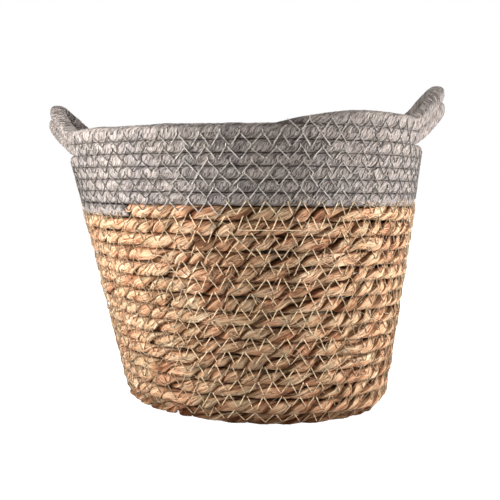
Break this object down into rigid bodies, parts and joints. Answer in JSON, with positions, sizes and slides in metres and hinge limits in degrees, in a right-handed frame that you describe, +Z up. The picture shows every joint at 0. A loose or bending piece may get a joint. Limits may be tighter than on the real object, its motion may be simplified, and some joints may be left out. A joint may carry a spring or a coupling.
{
  "type": "planter basket",
  "caption": "Flared planter basket coiled from stitched leaf cord with a grey paper cord top, lift handles bent out of the rim, and a waterproof liner inside.",
  "frame": {"origin": "on the floor, under the middle of the box that the planter fills", "axes": "+Z up, -Y the front that the picture shows, +X to the right from the front, towards the higher handle"},
  "size_m": [0.3018, 0.2704, 0.2439],
  "materials": {
    "natural_straw": "dry twisted leaf cord in mixed tan, pinkish brown and grey green strands, matt with a faint sheen along the fibres",
    "grey_cord": "matt twisted paper cord with fine slanting pleats, warm grey",
    "liner_film": "soft sheet with a low satin sheen, warm grey"
  },
  "bodies": {
    "root": {"base_coil": "natural_straw", "lower_wall_coil": "natural_straw", "upper_wall_coil": "grey_cord", "rim_and_handles": "grey_cord", "liner": "liner_film"}
  },
  "joints": []
}
